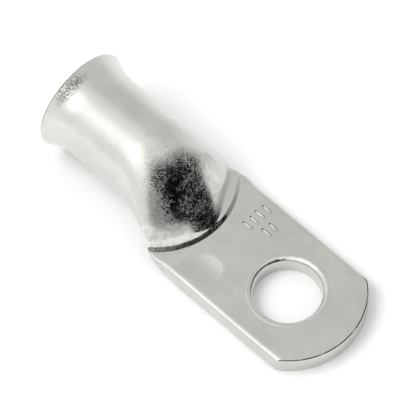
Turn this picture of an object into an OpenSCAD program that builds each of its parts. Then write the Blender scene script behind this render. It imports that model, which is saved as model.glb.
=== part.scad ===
// Tube cable lug: one piece of tube with a bell mouth, a plain barrel, a pressed neck and a flat palm.
// The stud hole's axis is Z, the palm rests on z = 0, and the barrel runs towards -X.

/* [Stud hole] */
// Diameter of the hole for the stud
stud_hole_d = 8.5; // [6.4:0.1:9.5]
// Radius that the punch rolls onto the hole's upper rim
rim_roll = 0.75; // [0.3:0.05:0.9]

/* [Palm] */
// Width of the palm
palm_w = 16.5; // [15.5:0.5:17.5]
// Thickness of the palm: two walls of the tube pressed together
palm_t = 2.45; // [2.2:0.05:2.6]
// Radius of the palm's sheared end, about the stud hole
palm_end_r = 9.9; // [9.6:0.1:11]
// Radius of the palm's long edges, where the tube folds over
palm_edge_r = 0.8; // [0.5:0.1:1]

/* [Barrel] */
// Outside diameter of the barrel
barrel_d = 11.8; // [11.4:0.1:12.2]
// Wall of the barrel
barrel_wall = 1.25; // [1.1:0.05:1.3]
// Distance from the stud hole's axis to the end of the mouth
mouth_reach = 35.9; // [33:0.1:42]

/* [Bell mouth] */
// Outside diameter of the bell mouth, over its rounded lip
bell_d = 13.7; // [13:0.1:14.2]
// Length of the flare
bell_l = 4; // [3.5:0.1:5]
// Rounding of the mouth's lip
lip_r = 0.35; // [0.2:0.05:0.5]

/* [Pressed neck] */
// Distance from the stud hole's axis to where the round barrel starts to change
neck_start = 23.8; // [23:0.1:24.5]
// Distance from the stud hole's axis to where the neck is as wide as the palm
neck_wide = 15.1; // [14.4:0.1:15.4]
// Distance from the stud hole's axis to where the underside is fully flat
neck_end = 11.3; // [10.9:0.1:11.6]
// Distance from the stud hole's axis to the die line, at the middle of the palm
die_line = 12.2; // [11.8:0.1:12.5]
// Radius of the die line in plan
die_line_r = 10.4; // [10:0.1:12]
// Depth that the palm die sinks below the shoulder behind it
die_step = 0.45; // [0.3:0.05:0.5]
// Width of that shoulder beside the nose
shoulder_w = 1.3; // [0.8:0.1:1.5]

/* [Hidden] */

$fn = 96;

barrel_r = barrel_d / 2;
bore_r = barrel_r - barrel_wall;
axis_z = bell_d / 2;                    // the bell mouth and the palm rest on one plane
bell_start = mouth_reach - bell_l;      // where the flare leaves the straight barrel
bell_rise = bell_d / 2 - barrel_r;
lip_s = mouth_reach - lip_r;            // where the middle of the lip's rounding lies
bell_arc_r = (pow(bell_rise - lip_r, 2) + pow(bell_l - lip_r, 2) - pow(lip_r, 2)) / (2 * bell_rise);
bell_arc_x = barrel_r + bell_arc_r;     // radius at which the middle of the flare's arc lies
crown_z = axis_z + barrel_r;
shoulder_z = palm_t + die_step;
shoulder_rise = 0.12;                   // how much the shoulder climbs towards the slope
nose_shoulder = 0.1;                    // width of the shoulder in front of the nose
nose_half_w = 5;                        // half of the nose's width at its foot
step_run = 0.45;                        // how far the die's step leans
neck_mid = palm_t * 1.04;               // level at which the neck is widest, at its foot

slope_run = neck_start - die_line - step_run - nose_shoulder;
slope_drop = crown_z - shoulder_z - shoulder_rise;
slope_power = 1.55;                     // the crown rolls over slowly and ends at its steepest
bow_power = 1.65;                       // the sections stay square across until near the foot
width_power = 2.05;
wide_power = 1.25;                      // how sharply the outline turns once it is as wide as the palm
mid_power = 2.2;                        // the widest level sinks after the crown does
round_power = 5;                        // the top stays round until it reaches the shoulder
low_landing = 0.4;                      // part of the slope over which the underside reaches the plane
low_flatness = 0.1;                     // the underside stays rounded until the palm is pressed
edge_share = 0.95;                      // most that a round edge may take of the height it turns in
mid_margin = 0.1;                       // least share of the height between the widest level and a skin
mid_depth = 0.3;                        // least depth of the widest level below a pressed top
side_turn = 10;                         // degrees of a section that its upright side takes
edge_turn = 40;                         // degrees at which its round edge ends

seam = 0.2;                             // where one length ends inside the next
lap = 0.5;                              // how far the next one reaches past its own start
inlay = 0.02;                           // how much one is smaller than the other there
past = 1;                               // how far a cutter runs out of the metal
ring_sides = 72;                        // points around each section of the neck
slope_rings = 24;                       // sections from the barrel to the foot of the slope
run_out_rings = 6;                      // sections from the die line to the straight palm
hollow_rings = 14;                      // sections of the hollow that closes inside the neck
hollow_end = 0.95;                      // part of the slope at which its walls have met

function blend(a, b, t) = a + (b - a) * t;
function unit(t) = min(1, max(0, t));
function ease(t) = unit(t) * unit(t) * (3 - 2 * unit(t));

// How far back the die line lies at y from the middle.
function sag(y) = die_line_r - sqrt(die_line_r * die_line_r - y * y);

// Half of the outline's width in plan, at s from the stud hole towards the mouth.
function plan_half_w(s) =
    let (done = pow(unit((neck_start - s) / (neck_start - neck_wide)), width_power))
    blend(barrel_r, palm_w / 2, 1 - pow(1 - done, wide_power));

// How much wider the shoulder is at y than in front of the nose.
function shoulder_gain(y) = (shoulder_w - nose_shoulder) * ease(abs(y) / nose_half_w);

// How far a section is bowed back at y: along the die line by bow, and round the shoulder by ledge.
function bowed_back(y, bow, ledge) = bow * sag(y) + ledge * shoulder_gain(y);

// Half width of a section whose middle is at s. Each pass halves the distance to the width that
// the outline has where the bowed sides really lie.
function bowed_half_w(s, bow, ledge, passes = 14, w = barrel_r) =
    passes == 0 ? w :
    bowed_half_w(s, bow, ledge, passes - 1, blend(w, plan_half_w(s + bowed_back(w, bow, ledge)), 0.5));

// A quarter of a flattened section as [across, up], each from 0 to 1, at a degrees from its side:
// a short upright side, a round edge and a long flat.
function flat_quarter(a, w, h, r) =
    a < side_turn ? [1, (h - r) / h * a / side_turn] :
    a < edge_turn ? let (b = 90 * (a - side_turn) / (edge_turn - side_turn))
        [(w - r + r * cos(b)) / w, (h - r + r * sin(b)) / h] :
    [(w - r) / w * (90 - a) / (90 - edge_turn), 1];

// Point of a section at a degrees. Each half is round where its flatness is 0 and flat where it is 1.
function section_point(a, w, top, mid, low, flat_top, flat_low) =
    let (
        up = sin(a) >= 0,
        h = up ? top - mid : mid - low,
        flat = up ? flat_top : flat_low,
        q = a <= 90 ? a : a <= 180 ? 180 - a : a <= 270 ? a - 180 : 360 - a,
        f = flat_quarter(q, w, h, min(palm_edge_r, h * edge_share)),
        across = blend(cos(q), f[0], flat),
        rise = blend(sin(q), f[1], flat)
    )
    [w * across * (cos(a) >= 0 ? 1 : -1), mid + h * rise * (up ? 1 : -1)];

// The slope at t, from 0 at the barrel to 1 at its foot.
function slope_s(t) = neck_start - slope_run * t;
function slope_bow(t) = pow(t, bow_power);
function slope_top(t) = crown_z - slope_drop * pow(t, slope_power);
function slope_low(t) = blend(axis_z - barrel_r, 0, ease(t / low_landing));
function slope_mid(t) = blend(axis_z, neck_mid, pow(t, mid_power));

// Height through the crown's wall, which keeps its thickness square to the slope.
function crown_wall(t) =
    barrel_wall * sqrt(1 + pow(slope_power * slope_drop / slope_run * pow(t, slope_power - 1), 2));

// Section of the slope at t: the outer skin, or the hollow inside a wall.
function slope_ring(t, wall = 0) =
    let (
        s = slope_s(t),
        bow = slope_bow(t),
        w = bowed_half_w(s, bow, t) - wall,
        low = slope_low(t) + wall,
        top = slope_top(t) - (wall > 0 ? crown_wall(t) : 0),
        mid = min(blend(top, low, mid_margin), max(blend(low, top, mid_margin), slope_mid(t)))
    ) [
        for (j = [0 : ring_sides - 1])
            let (p = section_point(360 * j / ring_sides, w, top, mid, low,
                pow(t, round_power), low_flatness * ease(t / low_landing)))
            [-(s + bowed_back(p[0], bow, t)), p[0], p[1]]
    ];

// Section of the pressed part with its middle at s and its top at z, and with its underside
// rounded where done is 0 and flat where it is 1.
function pressed_ring(s, z, bow, done, shrink = 0) =
    let (
        w = bowed_half_w(s, bow, 0) - shrink,
        mid = blend(min(neck_mid, z - mid_depth), palm_t / 2, done)
    ) [
        for (j = [0 : ring_sides - 1])
            let (p = section_point(360 * j / ring_sides, w, z - shrink, mid, shrink, 1,
                blend(low_flatness, 1, done)))
            [-(s + bowed_back(p[0], bow, 0)), p[0], p[1]]
    ];

// Section at s of a many-sided sleeve that just clears a cylinder of radius r.
function sleeve_ring(s, r) =
    let (corner_r = (r + inlay) / cos(180 / ring_sides)) [
        for (j = [0 : ring_sides - 1])
            let (a = 360 * j / ring_sides)
            [-s, corner_r * cos(a), axis_z + corner_r * sin(a)]
    ];

function middle(ring) = (ring[0] + ring[ring_sides / 2]) / 2;

// Closed skin over a run of sections, with a fan on each end.
module skin(rings) {
    last = len(rings) - 1;
    n = ring_sides;
    points = concat([for (ring = rings) each ring], [middle(rings[0]), middle(rings[last])]);
    sides = [
        for (i = [0 : last - 1], j = [0 : n - 1], half = [0, 1])
            let (k = (j + 1) % n)
            half == 0
                ? [i * n + j, (i + 1) * n + j, (i + 1) * n + k]
                : [i * n + j, (i + 1) * n + k, i * n + k]
    ];
    start_fan = [for (j = [0 : n - 1]) [(last + 1) * n, j, (j + 1) % n]];
    end_fan = [for (j = [0 : n - 1]) [(last + 1) * n + 1, last * n + (j + 1) % n, last * n + j]];
    polyhedron(points = points, faces = concat(sides, start_fan, end_fan), convexity = 6);
}

// Turns a profile drawn as [radius, distance from the stud hole] about the barrel's axis.
module about_barrel() {
    translate([0, 0, axis_z])
        rotate([0, -90, 0])
            rotate_extrude()
                children();
}

// What the lip's rounding takes off a corner of the mouth. Its middle is at radius r, and it meets
// the mouth's end and a skin that faces away from it along [out, back].
module lip_corner(r, out, back) {
    middle = [r, lip_s];
    reach = 2 * lip_r;
    difference() {
        polygon([
            middle,
            middle + [0, reach],
            middle + reach * [sign(out), 1],
            middle + reach * [sign(out), back],
            middle + reach * [out, back]
        ]);
        translate(middle)
            circle(r = lip_r);
    }
}

// Outside of the barrel and its bell mouth, still solid.
module barrel_blank() {
    run = bell_arc_r + lip_r;
    lip_x = bell_d / 2 - lip_r;
    about_barrel()
        difference() {
            translate([0, neck_start + seam])
                square([bell_d / 2, mouth_reach - neck_start - seam]);
            translate([barrel_r, neck_start])
                square([bell_d, bell_start - neck_start]);
            translate([bell_arc_x, bell_start])
                circle(r = bell_arc_r);
            lip_corner(lip_x, (bell_arc_x - lip_x) / run, (bell_start - lip_s) / run);
        }
}

// Bore of the barrel, which opens out with the bell at the same wall.
module barrel_bore() {
    run = bell_arc_r + barrel_wall - lip_r;
    depth = sqrt(run * run - pow(lip_s - bell_start, 2));
    about_barrel()
        union() {
            translate([0, neck_start + seam])
                square([bore_r, mouth_reach - neck_start - seam + past]);
            difference() {
                translate([0, bell_start])
                    square([bell_d / 2, bell_l + past]);
                translate([bell_arc_x, bell_start])
                    circle(r = bell_arc_r + barrel_wall);
            }
            lip_corner(bell_arc_x - depth, -depth / run, (lip_s - bell_start) / run);
        }
}

// The neck, pressed from round to flat, with the shoulder and the step that the palm die leaves.
module pressed_neck() {
    skin(concat(
        [sleeve_ring(neck_start + lap, barrel_r), sleeve_ring(neck_start, barrel_r)],
        [for (i = [1 : slope_rings]) slope_ring(i / slope_rings)],
        [pressed_ring(die_line + step_run, shoulder_z, 1, 0)],
        [for (i = [0 : run_out_rings])
            let (done = i / run_out_rings, s = blend(die_line, neck_end, done))
            pressed_ring(s, palm_t, 1 - done, ease(done), done == 1 ? inlay : 0)],
        [pressed_ring(neck_end - lap, palm_t, 0, 1, inlay)]
    ));
}

// The hollow inside the neck, which closes as the walls meet.
module closing_hollow() {
    skin(concat(
        [sleeve_ring(neck_start + lap, bore_r), sleeve_ring(neck_start, bore_r)],
        [for (i = [1 : hollow_rings]) slope_ring(hollow_end * i / hollow_rings, barrel_wall)]
    ));
}

// Flat palm with folded long edges and a sheared round end.
module palm_blank() {
    corner_y = palm_w / 2 - palm_edge_r;
    palm_start = neck_end - seam;
    intersection() {
        rotate([90, 0, 90])
            translate([0, 0, -palm_start])
                linear_extrude(palm_start + palm_end_r + past)
                    union() {
                        translate([-palm_w / 2, palm_edge_r])
                            square([palm_w, palm_t - 2 * palm_edge_r]);
                        translate([-corner_y, 0])
                            square([2 * corner_y, palm_t]);
                        for (side = [-1, 1], up = [0, 1])
                            translate([side * corner_y, up ? palm_t - palm_edge_r : palm_edge_r])
                                circle(r = palm_edge_r);
                    }
        translate([0, 0, -past])
            linear_extrude(palm_t + 2 * past)
                union() {
                    circle(r = palm_end_r);
                    translate([-palm_start - past, -palm_w])
                        square([palm_start + past, 2 * palm_w]);
                }
    }
}

// Cutter for the stud hole, with the rolled rim.
module stud_hole() {
    hole_r = stud_hole_d / 2;
    translate([0, 0, -past])
        cylinder(h = palm_t + 2 * past, d = stud_hole_d);
    rotate_extrude()
        difference() {
            translate([hole_r - inlay, palm_t - rim_roll])
                square([rim_roll + inlay, rim_roll + past]);
            translate([hole_r + rim_roll, palm_t - rim_roll])
                circle(r = rim_roll);
        }
}

module cable_lug() {
    color("silver")
        difference() {
            union() {
                barrel_blank();
                pressed_neck();
                palm_blank();
            }
            barrel_bore();
            closing_hollow();
            stud_hole();
        }
}

cable_lug();
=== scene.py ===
# A tinned copper cable lug: a tube with a bell mouth, pressed flat into a palm with a stud hole.
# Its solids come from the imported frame. The skin is modelled here again, smooth and finely divided.
import math

import bmesh
import bpy
from mathutils import Matrix, Vector


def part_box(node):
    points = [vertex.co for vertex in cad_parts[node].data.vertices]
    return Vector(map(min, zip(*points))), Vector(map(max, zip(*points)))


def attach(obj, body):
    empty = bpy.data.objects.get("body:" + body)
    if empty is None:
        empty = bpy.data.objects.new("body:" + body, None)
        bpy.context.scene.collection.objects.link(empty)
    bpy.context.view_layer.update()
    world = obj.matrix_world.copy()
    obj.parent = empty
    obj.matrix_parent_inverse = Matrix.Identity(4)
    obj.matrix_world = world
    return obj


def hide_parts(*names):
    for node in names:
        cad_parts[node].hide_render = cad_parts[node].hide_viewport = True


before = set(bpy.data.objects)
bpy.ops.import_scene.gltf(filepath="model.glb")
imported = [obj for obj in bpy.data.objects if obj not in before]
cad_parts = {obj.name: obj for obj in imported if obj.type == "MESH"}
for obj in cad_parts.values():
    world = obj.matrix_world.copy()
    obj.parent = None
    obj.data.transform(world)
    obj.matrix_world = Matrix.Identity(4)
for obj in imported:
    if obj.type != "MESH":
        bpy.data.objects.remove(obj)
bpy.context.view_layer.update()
lugLow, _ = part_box("cable_lug")
mm = 0.001

print("frame loaded")


# small tools

def linearFromHex(code):
    def channel(v):
        return v / 12.92 if v <= 0.04045 else ((v + 0.055) / 1.055) ** 2.4
    return tuple(channel(int(code[i:i + 2], 16) / 255) for i in (1, 3, 5)) + (1.0,)


def mix(a, b, t):
    return a + (b - a) * t


def unit(t):
    return min(1.0, max(0.0, t))


def ease(t):
    t = unit(t)
    return t * t * (3 - 2 * t)


def clearSelection():
    if bpy.context.object and bpy.context.object.mode != "OBJECT":
        bpy.ops.object.mode_set(mode="OBJECT")
    bpy.ops.object.select_all(action="DESELECT")


def pick(obj):
    clearSelection()
    obj.select_set(True)
    bpy.context.view_layer.objects.active = obj


def settle(obj):
    pick(obj)
    bpy.ops.object.transform_apply(location=True, rotation=True, scale=True)


# the lug's measures, in millimetres

lug = {
    "ringSides": 192,        # points around the tube
    "wall": 1.25,
    "barrelRadius": 5.9,
    "bellRadius": 6.85,
    "bellLength": 4.0,
    "mouthReach": 35.9,      # from the stud hole to the mouth
    "lipRound": 0.35,
    "palmWidth": 16.5,
    "palmThick": 2.45,
    "palmEndRadius": 9.89,
    "foldRadius": 0.8,
    "shearRound": 0.14,
    "holeRadius": 4.25,
    "holeRoll": 0.75,
    "holeSides": 160,        # points around the punch
    "punchSteps": 10,        # steps of the rolled rim
    "straightRings": 5,      # steps along a plain length, here and in the palm
    "bellRings": 16,
    "shearRings": 4,
    "smoothAngle": 35,       # edges sharper than this stay sharp
}

neck = {
    "start": 23.8,           # distances from the stud hole's axis towards the mouth
    "wide": 15.1,
    "end": 11.3,
    "dieLine": 12.2,
    "dieLineRadius": 10.4,
    "dieStep": 0.45,
    "stepRun": 0.45,
    "noseShoulder": 0.1,
    "shoulder": 1.3,
    "shoulderRise": 0.12,
    "noseHalfWidth": 5.0,
    "slopePower": 1.55,
    "bowPower": 1.65,
    "widthPower": 2.05,
    "widePower": 1.25,
    "midPower": 2.2,
    "roundPower": 5.0,
    "lowLanding": 0.4,
    "lowFlatness": 0.1,
    "edgeShare": 0.95,       # most that a round edge takes of the height it turns in
    "midMargin": 0.1,        # least share of the height between the widest level and a skin
    "midDepth": 0.3,         # least depth of the widest level below a pressed top
    "hollowEnd": 0.95,       # part of the slope at which the hollow closes
    "hollowRings": 30,
    "slopeRings": 60,
    "shoulderRings": 6,
    "stepRings": 5,
    "runOutRings": 12,
    "creaseReach": 0.35,     # how far beside the crease at the slope's foot the skin is smoothed
    "creaseHalfWidth": 8.1,
}

axisZ = lug["bellRadius"]
crownZ = axisZ + lug["barrelRadius"]
shoulderZ = lug["palmThick"] + neck["dieStep"]
neckMid = lug["palmThick"] * 1.04
slopeRun = neck["start"] - neck["dieLine"] - neck["stepRun"] - neck["noseShoulder"]
slopeDrop = crownZ - shoulderZ - neck["shoulderRise"]
bellRise = lug["bellRadius"] - lug["barrelRadius"]
bellStart = lug["mouthReach"] - lug["bellLength"]
lipRound = lug["lipRound"]
lipRun = lug["bellLength"] - lipRound
bellArc = ((bellRise - lipRound) ** 2 + lipRun ** 2 - lipRound ** 2) / (2 * bellRise)
bellArcRadius = lug["barrelRadius"] + bellArc    # where the flare's arc has its middle


def sag(y):
    # how far back the die line lies at y from the middle
    r = neck["dieLineRadius"]
    return r - math.sqrt(r * r - y * y)


def planHalfWidth(s):
    done = unit((neck["start"] - s) / (neck["start"] - neck["wide"])) ** neck["widthPower"]
    return mix(lug["barrelRadius"], lug["palmWidth"] / 2, 1 - (1 - done) ** neck["widePower"])


def shoulderGain(y):
    return (neck["shoulder"] - neck["noseShoulder"]) * ease(abs(y) / neck["noseHalfWidth"])


def bowedBack(y, bow, ledge):
    # along the die line by bow, and round the shoulder by ledge
    return bow * sag(y) + ledge * shoulderGain(y)


def bowedHalfWidth(s, bow, ledge):
    w = lug["barrelRadius"]
    for _ in range(14):      # each pass halves what is left to find
        w = mix(w, planHalfWidth(s + bowedBack(w, bow, ledge)), 0.5)
    return w


def flatQuarter(a, w, h, r):
    # a quarter of a flattened section: short upright side, round edge, long flat
    sideTurn, edgeTurn = 10, 40
    if a < sideTurn:
        return 1.0, (h - r) / h * a / sideTurn
    if a < edgeTurn:
        b = math.radians(90 * (a - sideTurn) / (edgeTurn - sideTurn))
        return (w - r + r * math.cos(b)) / w, (h - r + r * math.sin(b)) / h
    return (w - r) / w * (90 - a) / (90 - edgeTurn), 1.0


def sectionPoint(a, w, top, mid, low, flatTop, flatLow):
    # a point of a section, each half of it round at flatness 0 and flat at 1
    up = a <= 180
    h = top - mid if up else mid - low
    flat = flatTop if up else flatLow
    q = a if a <= 90 else 180 - a if a <= 180 else a - 180 if a <= 270 else 360 - a
    across, rise = flatQuarter(q, w, h, min(lug["foldRadius"], h * neck["edgeShare"]))
    across = mix(math.cos(math.radians(q)), across, flat)
    rise = mix(math.sin(math.radians(q)), rise, flat)
    side = 1 if (a < 90 or a > 270) else -1
    return side * w * across, mid + (h if up else -h) * rise


def crownWall(t):
    steep = neck["slopePower"] * slopeDrop / slopeRun * t ** (neck["slopePower"] - 1)
    return lug["wall"] * math.sqrt(1 + steep * steep)


def slopeRing(t, wall=0.0):
    s = neck["start"] - slopeRun * t
    bow = t ** neck["bowPower"]
    w = bowedHalfWidth(s, bow, t) - wall
    low = mix(axisZ - lug["barrelRadius"], 0, ease(t / neck["lowLanding"])) + wall
    top = crownZ - slopeDrop * t ** neck["slopePower"] - (crownWall(t) if wall else 0)
    mid = mix(axisZ, neckMid, t ** neck["midPower"])
    mid = min(mix(low, top, 1 - neck["midMargin"]), max(mix(low, top, neck["midMargin"]), mid))
    flatLow = neck["lowFlatness"] * ease(t / neck["lowLanding"])

    def place(a):
        y, z = sectionPoint(a, w, top, mid, low, t ** neck["roundPower"], flatLow)
        return -(s + bowedBack(y, bow, t)), y, z
    return place


def pressedRing(s, z, bow, done):
    w = bowedHalfWidth(s, bow, 0)
    mid = mix(min(neckMid, z - neck["midDepth"]), lug["palmThick"] / 2, done)

    def place(a):
        y, zz = sectionPoint(a, w, z, mid, 0, 1, mix(neck["lowFlatness"], 1, done))
        return -(s + bowedBack(y, bow, 0)), y, zz
    return place


def betweenRings(first, last, t):
    def place(a):
        return tuple(mix(p, q, t) for p, q in zip(first(a), last(a)))
    return place


def roundRing(s, r):
    def place(a):
        return -s, r * math.cos(math.radians(a)), axisZ + r * math.sin(math.radians(a))
    return place


def palmRing(t, short=0.0, thin=0.0):
    # from the end of the neck, t = 0, to the sheared end, t = 1
    w = lug["palmWidth"] / 2 - thin

    def place(a):
        y, z = sectionPoint(a, w, lug["palmThick"] - thin, lug["palmThick"] / 2, thin, 1, 1)
        end = math.sqrt(lug["palmEndRadius"] ** 2 - y * y) - short
        return mix(-neck["end"], end, t), y, z
    return place


def lipArc(radius, first, last, steps):
    # (distance, radius) points of the lip's rounding, whose middle lies at this radius
    middle = Vector((bellStart + lipRun, radius))
    turns = [mix(first, last, i / steps) for i in range(steps + 1)]
    return [middle + lipRound * Vector((math.cos(a), math.sin(a))) for a in turns]


def flareRadius(s, radius, arc):
    past = max(0.0, s - bellStart)
    return radius + arc - math.sqrt(arc ** 2 - past ** 2)


def tubeFrom(name, rings):
    # a plain tube with a loop for each ring, then each loop is pressed to its section
    sides = lug["ringSides"]
    bpy.ops.mesh.primitive_circle_add(vertices=sides, radius=lug["barrelRadius"], fill_type="NGON")
    tube = bpy.context.object
    tube.name = name
    bpy.ops.object.mode_set(mode="EDIT")
    bpy.ops.mesh.select_mode(type="FACE")
    bpy.ops.mesh.select_all(action="SELECT")
    for _ in rings[1:]:
        bpy.ops.mesh.extrude_region_move(TRANSFORM_OT_translate={"value": (0, 0, 1)})
    bpy.ops.mesh.delete(type="ONLY_FACE")
    bpy.ops.object.mode_set(mode="OBJECT")
    start = tube.data.vertices[0].co
    turn = math.atan2(start.y, start.x)
    lastLoop = {}
    for v in tube.data.vertices:
        step = round(math.degrees(math.atan2(v.co.y, v.co.x) - turn) * sides / 360) % sides
        ring = round(v.co.z)
        if ring == len(rings) - 1:
            lastLoop[step] = v.index
        v.co = Vector(rings[ring](step * 360 / sides)) * mm
    return tube, lastLoop


clearSelection()

boreRadius = lug["barrelRadius"] - lug["wall"]
innerArc = bellArc + lug["wall"]
innerLipRadius = bellArcRadius - math.sqrt((innerArc - lipRound) ** 2 - lipRun ** 2)
outerLipRadius = lug["bellRadius"] - lipRound
innerLip = lipArc(innerLipRadius, math.atan2(innerLipRadius - bellArcRadius, lipRun), 0, 6)
outerLip = lipArc(outerLipRadius, 0, math.atan2(bellArcRadius - outerLipRadius, -lipRun), 8)

hollowRings, bellRings, straight = neck["hollowRings"], lug["bellRings"], lug["straightRings"]
rings = [slopeRing(neck["hollowEnd"] * i / hollowRings, lug["wall"]) for i in range(hollowRings, -1, -1)]
rings += [roundRing(mix(neck["start"], bellStart, i / straight), boreRadius) for i in range(1, straight)]
for i in range(bellRings + 1):
    s = mix(bellStart, innerLip[0].x, i / bellRings)
    rings.append(roundRing(s, flareRadius(s, boreRadius, innerArc)))
rings += [roundRing(p.x, p.y) for p in innerLip[1:]]
rings += [roundRing(p.x, p.y) for p in outerLip]
for i in range(1, bellRings + 1):
    s = mix(outerLip[-1].x, bellStart, i / bellRings)
    rings.append(roundRing(s, flareRadius(s, lug["barrelRadius"], bellArc)))
for i in range(1, straight):
    rings.append(roundRing(mix(bellStart, neck["start"], i / straight), lug["barrelRadius"]))
rings += [slopeRing(i / neck["slopeRings"]) for i in range(neck["slopeRings"] + 1)]
slopeFoot = slopeRing(1)
stepTop = pressedRing(neck["dieLine"] + neck["stepRun"], shoulderZ, 1, 0)
stepFoot = pressedRing(neck["dieLine"], lug["palmThick"], 1, 0)
shoulderRings, stepRings = neck["shoulderRings"], neck["stepRings"]
rings += [betweenRings(slopeFoot, stepTop, i / shoulderRings) for i in range(1, shoulderRings + 1)]
rings += [betweenRings(stepTop, stepFoot, i / stepRings) for i in range(1, stepRings)]
for i in range(neck["runOutRings"] + 1):
    done = i / neck["runOutRings"]
    s = mix(neck["dieLine"], neck["end"], done)
    rings.append(pressedRing(s, lug["palmThick"], 1 - done, ease(done)))
rings += [palmRing(i / straight) for i in range(1, straight)]
for i in range(lug["shearRings"] + 1):
    b = math.radians(90 * i / lug["shearRings"])
    rings.append(palmRing(1, lug["shearRound"] * (1 - math.sin(b)), lug["shearRound"] * (1 - math.cos(b))))

body, lastLoop = tubeFrom("cable_lug_skin", rings)

# the sheared end is closed by a strip of quads from its top edge to its bottom edge
mesh = bmesh.new()
mesh.from_mesh(body.data)
mesh.verts.ensure_lookup_table()
sides = lug["ringSides"]
loop = [mesh.verts[lastLoop[i]] for i in range(sides)]
uprightSteps = sides // 36    # the upright sides lie in one line, so each goes into a single face
for start in (0, sides // 2):
    side = [loop[(start + i) % sides] for i in range(-uprightSteps - 1, uprightSteps + 2)]
    mesh.faces.new(side)
for i in range(uprightSteps + 1, sides // 2 - uprightSteps - 1):
    mesh.faces.new((loop[i], loop[i + 1], loop[-i - 1], loop[-i]))
mesh.to_mesh(body.data)
mesh.free()


def nearFoot(co):
    # whether a point of the upper skin lies beside the crease between slope and shoulder
    x, y, z = co / mm
    creaseX = -(neck["dieLine"] + neck["stepRun"] + neck["noseShoulder"] + sag(y) + shoulderGain(y))
    onNeck = z > lug["palmThick"] + 0.05 and abs(y) < neck["creaseHalfWidth"]
    return onNeck and abs(x - creaseX) < neck["creaseReach"]


pick(body)
for part in (body.data.vertices, body.data.edges, body.data.polygons):
    for item in part:
        item.select = False
for v in body.data.vertices:
    v.select = nearFoot(v.co)
bpy.ops.object.mode_set(mode="EDIT")
bpy.ops.mesh.select_mode(type="VERT")
bpy.ops.mesh.vertices_smooth(factor=0.5, repeat=3)
bpy.ops.object.mode_set(mode="OBJECT")

pick(body)
bpy.ops.object.mode_set(mode="EDIT")
bpy.ops.mesh.select_all(action="SELECT")
bpy.ops.mesh.normals_make_consistent(inside=False)
bpy.ops.object.mode_set(mode="OBJECT")
print("tube pressed:", len(rings), "loops,", len(body.data.polygons), "faces")

# the stud hole, cut with a punch whose shoulder rolls the rim
punchSteps = lug["punchSteps"]
bpy.ops.mesh.primitive_circle_add(
    vertices=lug["holeSides"], radius=lug["holeRadius"] * mm, location=(0, 0, -1 * mm), fill_type="NGON")
punch = bpy.context.object
punch.name = "punch"
bpy.ops.object.mode_set(mode="EDIT")
bpy.ops.mesh.select_all(action="SELECT")
heights = [(lug["palmThick"] - lug["holeRoll"], lug["holeRadius"])]
for i in range(1, punchSteps + 1):
    b = math.radians(90 * i / punchSteps)
    heights.append((
        lug["palmThick"] - lug["holeRoll"] * (1 - math.sin(b)),
        lug["holeRadius"] + lug["holeRoll"] * (1 - math.cos(b))))
heights.append((lug["palmThick"] + 1, lug["holeRadius"] + lug["holeRoll"]))
z, r = -1.0, lug["holeRadius"]
for nextZ, nextR in heights:
    bpy.ops.mesh.extrude_region_move(TRANSFORM_OT_translate={"value": (0, 0, (nextZ - z) * mm)})
    bpy.ops.transform.resize(value=(nextR / r, nextR / r, 1), center_override=(0, 0, nextZ * mm))
    z, r = nextZ, nextR
bpy.ops.mesh.select_all(action="SELECT")
bpy.ops.mesh.normals_make_consistent(inside=False)
bpy.ops.object.mode_set(mode="OBJECT")
settle(punch)

# plain marks on the palm: a dimple and six bars
marks = {
    "dimple": (-9.2, -4.85, 2.1, 0.2),       # place on the palm, radius and depth
    "bars": (                                # place and turn of each bar
        (-9.9, 3.2, 4), (-9.8, 4.3, -3), (-9.9, 5.4, 6), (-9.75, 6.5, 0),
        (-7.5, 4.1, 3), (-7.4, 5.2, -5)),
    "barSize": (1.7, 0.5),
    "barDepth": 0.3,
    "barProud": 0.02,                        # how far a bar's middle lies above the palm
}


def dimpleTool(x, y, radius, depth):
    # a big ball that only just dips into the palm
    ball = (radius ** 2 + depth ** 2) / (2 * depth)
    bpy.ops.mesh.primitive_circle_add(vertices=72, radius=radius * 1.35 * mm, fill_type="NGON", location=(
        x * mm, y * mm, 0))
    tool = bpy.context.object
    tool.name = "dimple"
    bpy.ops.object.mode_set(mode="EDIT")
    bpy.ops.mesh.select_all(action="SELECT")
    bpy.ops.mesh.inset(thickness=0.12 * mm)
    for _ in range(13):
        bpy.ops.mesh.inset(thickness=0.18 * mm)
    bpy.ops.object.mode_set(mode="OBJECT")
    settle(tool)
    bottom = (lug["palmThick"] - depth) * mm
    for v in tool.data.vertices:
        out = math.hypot(v.co.x / mm - x, v.co.y / mm - y)
        v.co.z = bottom + (ball - math.sqrt(ball ** 2 - out ** 2)) * mm
    pick(tool)
    bpy.ops.object.mode_set(mode="EDIT")
    bpy.ops.mesh.select_mode(type="EDGE")
    bpy.ops.mesh.select_all(action="DESELECT")
    bpy.ops.mesh.select_non_manifold()
    bpy.ops.mesh.extrude_region_move(TRANSFORM_OT_translate={"value": (0, 0, 1 * mm)})
    bpy.ops.mesh.edge_face_add()
    bpy.ops.mesh.select_all(action="SELECT")
    bpy.ops.mesh.normals_make_consistent(inside=False)
    bpy.ops.object.mode_set(mode="OBJECT")
    return tool


def barTool(x, y, turn):
    # a blunt punch whose end is a flattened ball
    length, width = marks["barSize"]
    proud = marks["barProud"]
    bpy.ops.mesh.primitive_uv_sphere_add(
        segments=24, ring_count=12, radius=1,
        location=(x * mm, y * mm, (lug["palmThick"] + proud) * mm),
        rotation=(0, 0, math.radians(turn)),
        scale=(length / 2 * mm, width / 2 * mm, (marks["barDepth"] + proud) * mm))
    tool = bpy.context.object
    tool.name = "bar"
    settle(tool)
    return tool


tools = [punch, dimpleTool(*marks["dimple"])]
tools += [barTool(*bar) for bar in marks["bars"]]


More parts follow.
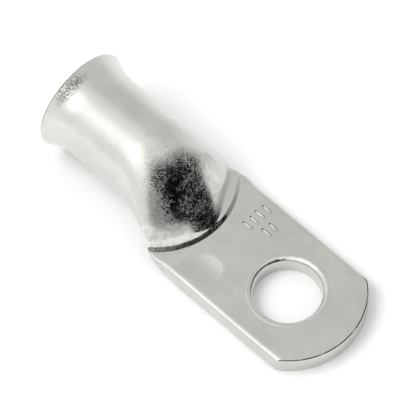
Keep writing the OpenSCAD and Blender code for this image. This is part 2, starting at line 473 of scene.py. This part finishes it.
def cutWith(obj, tool):
    pick(obj)
    cut = obj.modifiers.new("cut", "BOOLEAN")
    cut.operation = "DIFFERENCE"
    cut.solver = "EXACT"
    cut.object = tool
    bpy.ops.object.modifier_apply(modifier=cut.name)
    bpy.data.objects.remove(tool, do_unlink=True)


clearSelection()
for tool in tools:
    tool.select_set(True)
bpy.context.view_layer.objects.active = punch
bpy.ops.object.join()
cutWith(body, punch)
print("stud hole and marks cut:", len(body.data.polygons), "faces")

pick(body)
bpy.ops.object.shade_smooth_by_angle(angle=math.radians(lug["smoothAngle"]))

checkMesh = bmesh.new()
checkMesh.from_mesh(body.data)
openEdges = sum(1 for e in checkMesh.edges if len(e.link_faces) != 2)
print("open edges:", openEdges, "volume mm3:", checkMesh.calc_volume() / mm ** 3)
checkMesh.free()


# material

def addNode(tree, kind, settings=None, links=None):
    node = tree.nodes.new(kind)
    for key, value in (settings or {}).items():
        if isinstance(key, int) or key in node.inputs:
            node.inputs[key].default_value = value
        else:
            setattr(node, key, value)
    for key, source in (links or {}).items():
        tree.links.new(source, node.inputs[key])
    return node


tin = {
    "colour": "#DCDBD7",
    "paintedDark": "#3B3936",           # dark grey: painted shade in the die's step, partly scraped tin, a painted dark reflection on the flare, and dark lines along the sheared edge and the mouth's rim
    "paintedSheen": "#FFFEFB",          # white painted into the slope's fillet as a highlight
    "cellsPerMetre": 9500,       # one grain of the coat is about 0.1 mm
    "finePerMetre": 14000,       # its fine relief, drawn coarser than it is so that it shows
    "blotchPerMetre": 800,       # patches with more or fewer dull grains
    "cloudPerMetre": 420,        # clouds in the plain tube and the palm
    "sheenPerMetre": 1300,
    "stainPerMetre": 900,
    "tonePerMetre": 150,
    "wavePerMetre": 600,         # waves left by the dies
    "reliefHeight": 0.01,        # of the grains, in millimetres
    "polished": 0.11,            # roughness between the grains
    "matte": 0.42,               # roughness of a dull grain
    "drawn": (0.2, 0.27),        # roughness of the tube where no die has touched it
    "ironed": (0.17, 0.27),      # and of the flattened palm
}

# where the finishes lie, in millimetres; each pair runs from none of a finish to all of it
zones = {
    "pressed": (-23.2, -21.2),       # along the tube, from round to pressed
    "palm": (-12.7, -11.9),
    "dieSide": (-20.5, -19.5),       # the die's rings count only on this side of it
    "streak": (1.5, 0.1),            # beside the burnished streak
    "streakBow": (5.0, 0.1, -2.9),   # its level, how much it bows and how far it lies to the near side
    "streakFoot": (4.0, 5.5),        # its lower and upper end
    "streakTop": (11.0, 10.0),
    "untouched": (-1.2, -2.2),       # beside the streak on the near side
    "untouchedTop": (9.8, 7.6),
    "farSide": (7.6, 5.9),
    "abovePalm": (2.45, 2.5),
    "filletRing": (8.9, 9.5),        # distances from the middle of the die's edge
    "filletEnd": (10.0, 9.9),
    "ledgeRing": (8.3, 9.0),
    "ledgeEnd": (10.6, 10.4),
    "stepRing": (9.86, 9.94),
    "stepEnd": (10.5, 10.42),
    "shearRing": (9.68, 9.76),       # distances from the stud hole's axis
    "shearEnd": (9.88, 9.82),
    "rollRing": (4.2, 4.5),
    "rollEnd": (5.3, 4.9),
    "lipSkin": (5.65, 5.85),         # distance from the barrel's axis
    "lipFace": (-33.6, -34.6),
    "rimLine": (-35.64, -35.7),      # along the tube, just inside the mouth's edge
    "rimLineEnd": (-35.87, -35.81),
}


def tinnedCopper():
    # electro-tin over pressed copper tube: bright, with dull grains that sparkle where it mirrors
    # something dark; smoother on the pressed palm. It holds painted shade in the die's step, partly scraped
    # tin, a painted dark reflection on the flare, a painted highlight in the slope's fillet, and dark lines
    # along the sheared edge and the mouth's rim
    mat = bpy.data.materials.new("tinned_copper")
    mat.use_nodes = True
    tree = mat.node_tree
    tree.nodes.clear()

    def maths(kind, a, b=None, c=None):
        settings, links = {"operation": kind}, {}
        for i, v in enumerate((a, b, c)):
            if isinstance(v, (int, float)):
                settings[i] = v
            elif v is not None:
                links[i] = v
        return addNode(tree, "ShaderNodeMath", settings, links).outputs["Value"]

    def ramp(value, start, end, low=0.0, high=1.0):
        return addNode(tree, "ShaderNodeMapRange", {
            "interpolation_type": "SMOOTHSTEP", "From Min": start, "From Max": end,
            "To Min": low, "To Max": high}, {"Value": value}).outputs["Result"]

    def product(first, *others):
        for other in others:
            first = maths("MULTIPLY", first, other)
        return first

    place = addNode(tree, "ShaderNodeTexCoord")
    inMm = addNode(tree, "ShaderNodeVectorMath", {"operation": "SCALE", "Scale": 1000.0}, {
        0: place.outputs["Object"]}).outputs["Vector"]
    split = addNode(tree, "ShaderNodeSeparateXYZ", {}, {"Vector": inMm})
    x, y, z = (split.outputs[axis] for axis in "XYZ")

    def noise(scale, detail, seed=0.0):
        return addNode(tree, "ShaderNodeTexNoise", {
            "noise_dimensions": "4D", "Scale": scale, "Detail": detail, "Roughness": 0.6, "W": seed}, {
            "Vector": place.outputs["Object"]}).outputs["Fac"]

    def blob(centre, radii):
        # 1 in the middle of a soft ellipsoid, 0 outside it
        off = addNode(tree, "ShaderNodeVectorMath", {"operation": "SUBTRACT", 1: centre}, {0: inMm})
        flat = addNode(tree, "ShaderNodeVectorMath", {"operation": "DIVIDE", 1: radii}, {
            0: off.outputs["Vector"]})
        far = addNode(tree, "ShaderNodeVectorMath", {"operation": "LENGTH"}, {0: flat.outputs["Vector"]})
        return ramp(far.outputs["Value"], 1.0, 0.45)

    def ringOut(centreX):
        # distance in plan from a point on the middle line
        dx = maths("SUBTRACT", x, centreX)
        return maths("SQRT", maths("ADD", product(dx, dx), product(y, y)))

    cells = addNode(tree, "ShaderNodeTexVoronoi", {"Scale": tin["cellsPerMetre"]}, {
        "Vector": place.outputs["Object"]})
    luck = addNode(tree, "ShaderNodeSeparateColor", {}, {"Color": cells.outputs["Color"]})
    grain, grainTwo = luck.outputs["Red"], luck.outputs["Green"]
    blotch = noise(tin["blotchPerMetre"], 3)
    fine = noise(tin["finePerMetre"], 2, 3.0)

    dieMiddle = -(neck["dieLine"] + neck["dieLineRadius"])
    dieRing = product(ringOut(dieMiddle), ramp(x, *zones["dieSide"]))
    studRing = ringOut(0.0)
    # the punch has burnished a streak down the slope and its foot, so dull grains are few there,
    # and left them dull on the near side
    level, bow, aside = zones["streakBow"]
    lift = maths("SUBTRACT", z, level)
    fromStreak = maths("SUBTRACT", y, maths("MULTIPLY_ADD", product(lift, lift), bow, aside))
    streak = product(
        ramp(maths("ABSOLUTE", fromStreak), *zones["streak"]),
        ramp(z, *zones["streakFoot"]), ramp(z, *zones["streakTop"]))
    foot = blob((-12.9, -0.9, 3.7), (1.6, 2.4, 1.6))
    untouched = product(ramp(fromStreak, *zones["untouched"]), ramp(z, *zones["untouchedTop"]))
    burnished = maths("MAXIMUM", streak, product(foot, 0.3))
    start = maths("ADD", ramp(blotch, 0.35, 0.65, 0.28, 0.6), product(burnished, 0.24))
    start = maths("SUBTRACT", start, product(untouched, 0.58))
    dull = ramp(maths("SUBTRACT", grain, start), 0.0, 0.55)

    pressed = product(ramp(x, *zones["pressed"]), ramp(fromStreak, *zones["farSide"]))
    palm = ramp(x, *zones["palm"])

    def blend(amount, first, second):
        return maths("MULTIPLY_ADD", amount, maths("SUBTRACT", second, first), first)

    cloudy = noise(tin["cloudPerMetre"], 4, 7.0)
    grainy = maths("MULTIPLY_ADD", dull, tin["matte"] - tin["polished"], tin["polished"])
    rough = blend(pressed, ramp(cloudy, 0.3, 0.7, *tin["drawn"]), grainy)
    rough = blend(palm, rough, ramp(cloudy, 0.3, 0.7, *tin["ironed"]))
    # blotchy fillet along the near side of the slope's foot, rougher, and painted white there as a
    # highlight
    fillet = product(
        ramp(maths("MULTIPLY_ADD", blotch, 1.6, dieRing), *zones["filletRing"]),
        ramp(dieRing, *zones["filletEnd"]),
        ramp(y, -1.7, -2.9), ramp(z, 6.0, 4.8), ramp(z, 2.45, 2.7))
    sheenMask = product(fillet, ramp(noise(tin["sheenPerMetre"], 2, 9.0), 0.38, 0.56, 0.55, 1.0))
    farLedge = product(
        ramp(dieRing, *zones["ledgeRing"]), ramp(dieRing, *zones["ledgeEnd"]),
        ramp(y, 1.6, 2.8), ramp(z, *zones["abovePalm"]))
    rough = maths("MAXIMUM", rough, maths("MAXIMUM", product(fillet, 0.75), product(farLedge, 0.5)))

    # painted dark places: shade in the die's step, partly scraped tin; a dark reflection on the flare;
    # lines along the sheared end's top edge and the mouth's rim
    # painted shade in the die's step, partly scraped tin, broken up by the grain
    step = product(
        ramp(dieRing, *zones["stepRing"]), ramp(dieRing, *zones["stepEnd"]),
        ramp(z, *zones["abovePalm"]), ramp(z, 3.0, 2.93),
        ramp(y, 0.2, -1.3), ramp(grainTwo, 0.05, 0.75, 0.95, 0.45))
    edge = product(
        ramp(studRing, *zones["shearRing"]), ramp(studRing, *zones["shearEnd"]),
        ramp(z, 2.34, 2.4), ramp(x, 1.0, 3.0),
        ramp(noise(tin["stainPerMetre"], 2, 5.0), 0.38, 0.55, 0.35, 0.95))
    up = maths("SUBTRACT", z, axisZ)
    fromAxis = maths("SQRT", maths("ADD", product(up, up), product(y, y)))
    # painted dark reflection on the flare's upper skin near the mouth, speckled by the grain
    lip = product(
        blob((-34.9, -2.1, 12.4), (1.5, 3.6, 2.2)), ramp(x, *zones["lipFace"]), ramp(grainTwo, 0.9, 0.35),
        ramp(fromAxis, *zones["lipSkin"]), 0.75)
    rimLine = product(ramp(x, *zones["rimLine"]), ramp(x, *zones["rimLineEnd"]), 0.75)
    paintedDark = maths("MAXIMUM", maths("MAXIMUM", step, edge), maths("MAXIMUM", lip, rimLine))
    tone = product(
        ramp(noise(tin["tonePerMetre"], 4, 11.0), 0.36, 0.64, 0.9, 1.0),
        maths("MULTIPLY_ADD", palm, -0.035, 1.0))
    # the tin's colour, with the painted highlight in the fillet
    bright = addNode(tree, "ShaderNodeMix", {
        "data_type": "RGBA", 6: linearFromHex(tin["colour"]), 7: linearFromHex(tin["paintedSheen"])}, {0: sheenMask})
    base = addNode(tree, "ShaderNodeMix", {"data_type": "RGBA", 7: linearFromHex(tin["paintedDark"])}, {
        0: paintedDark, 6: bright.outputs[2]})
    shaded = addNode(tree, "ShaderNodeVectorMath", {"operation": "SCALE"}, {
        0: base.outputs[2], "Scale": tone})
    rough = maths("MAXIMUM", rough, product(paintedDark, 0.5))

    relief = product(maths("ADD", product(fine, 0.6), product(dull, 0.4)), blend(
        maths("MAXIMUM", palm, maths("SUBTRACT", 1.0, pressed)), 1.0, 0.25))
    rolled = product(ramp(studRing, *zones["rollRing"]), ramp(studRing, *zones["rollEnd"]))
    uneven = product(noise(tin["wavePerMetre"], 2, 13.0), maths("MULTIPLY_ADD", rolled, 9.0, 2.2))
    bump = addNode(tree, "ShaderNodeBump", {"Strength": 1.0, "Distance": tin["reliefHeight"] * mm}, {
        "Height": maths("ADD", relief, uneven)})
    shader = addNode(tree, "ShaderNodeBsdfPrincipled", {"Metallic": 1.0}, {
        "Base Color": shaded.outputs["Vector"], "Roughness": rough, "Normal": bump.outputs["Normal"]})
    addNode(tree, "ShaderNodeOutputMaterial", {}, {"Surface": shader.outputs["BSDF"]})
    return mat


body.data.materials.clear()
body.data.materials.append(tinnedCopper())
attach(body, "root")
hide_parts("cable_lug")
print("material assigned")


# studio

studio = {
    "elevation": 59.56,      # of the camera above the table
    "azimuth": -44.9,        # of the camera, from +X towards +Y
    "roll": -0.93,
    "lens": 400.0,
    "sensor": 36.0,
    "frameWidth": 51.48,     # what the camera sees at the lug, in millimetres
    "lookAt": (-16.25, 2.61, 0.0),
    "middle": (-13.0, 0.0, 4.0),     # what the lamp and the cards are set around
    "floorSize": 1200,
    "floorGap": 0.01,        # keeps the floor off the palm's flat underside
    "skySeen": 1.0,
    "skyLit": 0.84,
}
studioMiddle = Vector(studio["middle"]) * mm

bpy.ops.mesh.primitive_plane_add(
    size=studio["floorSize"] * mm, location=(0, 0, lugLow[2] - studio["floorGap"] * mm))
floor = bpy.context.object
floor.name = "floor"
floorMat = bpy.data.materials.new("pale_floor")
floorMat.use_nodes = True
floorShader = floorMat.node_tree.nodes["Principled BSDF"]
floorShader.inputs["Base Color"].default_value = linearFromHex("#FAFAFA")
floorShader.inputs["Roughness"].default_value = 0.9
floorShader.inputs["Specular IOR Level"].default_value = 0.0
floor.data.materials.append(floorMat)


def direction(azimuth, elevation):
    a, e = math.radians(azimuth), math.radians(elevation)
    return Vector((math.cos(e) * math.cos(a), math.cos(e) * math.sin(a), math.sin(e)))


def softbox(name, azimuth, elevation, distance, size, power):
    data = bpy.data.lights.new(name, "AREA")
    data.shape = "RECTANGLE"
    data.size, data.size_y = size
    data.energy = power
    lamp = bpy.data.objects.new(name, data)
    bpy.context.scene.collection.objects.link(lamp)
    towards = direction(azimuth, elevation)
    lamp.location = studioMiddle + towards * distance
    lamp.rotation_euler = towards.to_track_quat("Z", "Y").to_euler()
    return lamp


softbox("key_softbox", -132, 57, 0.5, (0.34, 0.26), 1.1).visible_glossy = False


def softCard(name, centre, spread, feather, radius, colour, glow, strength=1.0, squareness=2.0, lean=0.0):
    # a curved studio card around the lug, seen only in its reflections, with feathered edges
    (az, el), (azHalf, elHalf) = centre, spread
    bpy.ops.mesh.primitive_grid_add(x_subdivisions=32, y_subdivisions=32, size=2)
    card = bpy.context.object
    card.name = name
    for v in card.data.vertices:
        around, up = az + v.co.x * azHalf, el + v.co.y * elHalf + v.co.x * lean
        v.co = direction(around, up) * radius + studioMiddle
    uv = card.data.uv_layers[0]
    mat = bpy.data.materials.new(name)
    mat.use_nodes = True
    nodes = mat.node_tree
    nodes.nodes.clear()
    where = addNode(nodes, "ShaderNodeUVMap", {"uv_map": uv.name})
    middle = addNode(nodes, "ShaderNodeVectorMath", {"operation": "SUBTRACT", 1: (0.5, 0.5, 0.0)}, {
        0: where.outputs["UV"]})
    sizes = addNode(nodes, "ShaderNodeVectorMath", {"operation": "ABSOLUTE"}, {0: middle.outputs["Vector"]})
    raised = addNode(nodes, "ShaderNodeVectorMath", {"operation": "POWER", 1: (squareness,) * 3}, {
        0: sizes.outputs["Vector"]})
    summed = addNode(nodes, "ShaderNodeVectorMath", {"operation": "DOT_PRODUCT", 1: (1.0, 1.0, 0.0)}, {
        0: raised.outputs["Vector"]})
    out = addNode(nodes, "ShaderNodeMath", {"operation": "POWER", 1: 1 / squareness}, {
        0: summed.outputs["Value"]})
    fade = addNode(nodes, "ShaderNodeMapRange", {
        "interpolation_type": "SMOOTHSTEP", "From Min": 0.5, "From Max": 0.5 * (1 - feather)}, {
        "Value": out.outputs["Value"]})
    amount = addNode(nodes, "ShaderNodeMath", {"operation": "MULTIPLY", 1: strength}, {
        0: fade.outputs["Result"]})
    clear = addNode(nodes, "ShaderNodeBsdfTransparent")
    face = addNode(nodes, "ShaderNodeEmission", {"Color": linearFromHex(colour), "Strength": glow})
    blend = addNode(nodes, "ShaderNodeMixShader", {}, {
        0: amount.outputs["Value"], 1: clear.outputs["BSDF"], 2: face.outputs["Emission"]})
    addNode(nodes, "ShaderNodeOutputMaterial", {}, {"Surface": blend.outputs["Shader"]})
    card.data.materials.append(mat)
    card.visible_camera = False
    card.visible_diffuse = False
    card.visible_shadow = False


softCard("dark_flag", (13, -1), (57, 47), 0.2, 0.30, "#0B0B0A", 1.0, 1.0, 3.0, -15.0)
softCard("dark_table_card", (38, 0), (25, 16), 0.2, 0.03, "#0B0B0A", 1.0, 1.0, 4.0)
softCard("grey_scrim", (98, 48), (84, 54), 0.6, 0.36, "#9B9993", 1.0, 0.4)
softCard("bright_softbox", (-92, 56), (78, 34), 0.65, 0.33, "#FFFFFF", 1.65)

world = bpy.data.worlds.new("studio")
bpy.context.scene.world = world
world.use_nodes = True
tree = world.node_tree
tree.nodes.clear()
worldOut = addNode(tree, "ShaderNodeOutputWorld")
rays = addNode(tree, "ShaderNodeLightPath")
seen = addNode(tree, "ShaderNodeBackground", {"Color": (1, 1, 1, 1), "Strength": studio["skySeen"]})
lit = addNode(tree, "ShaderNodeBackground", {"Color": (1, 1, 1, 1), "Strength": studio["skyLit"]})
through = addNode(tree, "ShaderNodeMath", {"operation": "MAXIMUM"}, {
    0: rays.outputs["Is Glossy Ray"], 1: rays.outputs["Is Transmission Ray"]})
isSeen = addNode(tree, "ShaderNodeMath", {"operation": "MAXIMUM"}, {
    0: rays.outputs["Is Camera Ray"], 1: through.outputs["Value"]})
skyMix = addNode(tree, "ShaderNodeMixShader", {}, {
    0: isSeen.outputs["Value"], 1: lit.outputs["Background"], 2: seen.outputs["Background"]})
tree.links.new(skyMix.outputs["Shader"], worldOut.inputs["Surface"])

camData = bpy.data.cameras.new("camera")
camData.lens = studio["lens"]
camData.sensor_width = studio["sensor"]
camData.clip_start = 0.01
camera = bpy.data.objects.new("camera", camData)
bpy.context.scene.collection.objects.link(camera)
back = direction(studio["azimuth"], studio["elevation"])
distance = studio["lens"] * studio["frameWidth"] / studio["sensor"] * mm
turn = back.to_track_quat("Z", "Y") @ Matrix.Rotation(math.radians(studio["roll"]), 3, "Z").to_quaternion()
camera.rotation_euler = turn.to_euler()
camera.location = Vector(studio["lookAt"]) * mm + back * distance
bpy.context.scene.camera = camera
bpy.context.scene.view_settings.view_transform = "Standard"
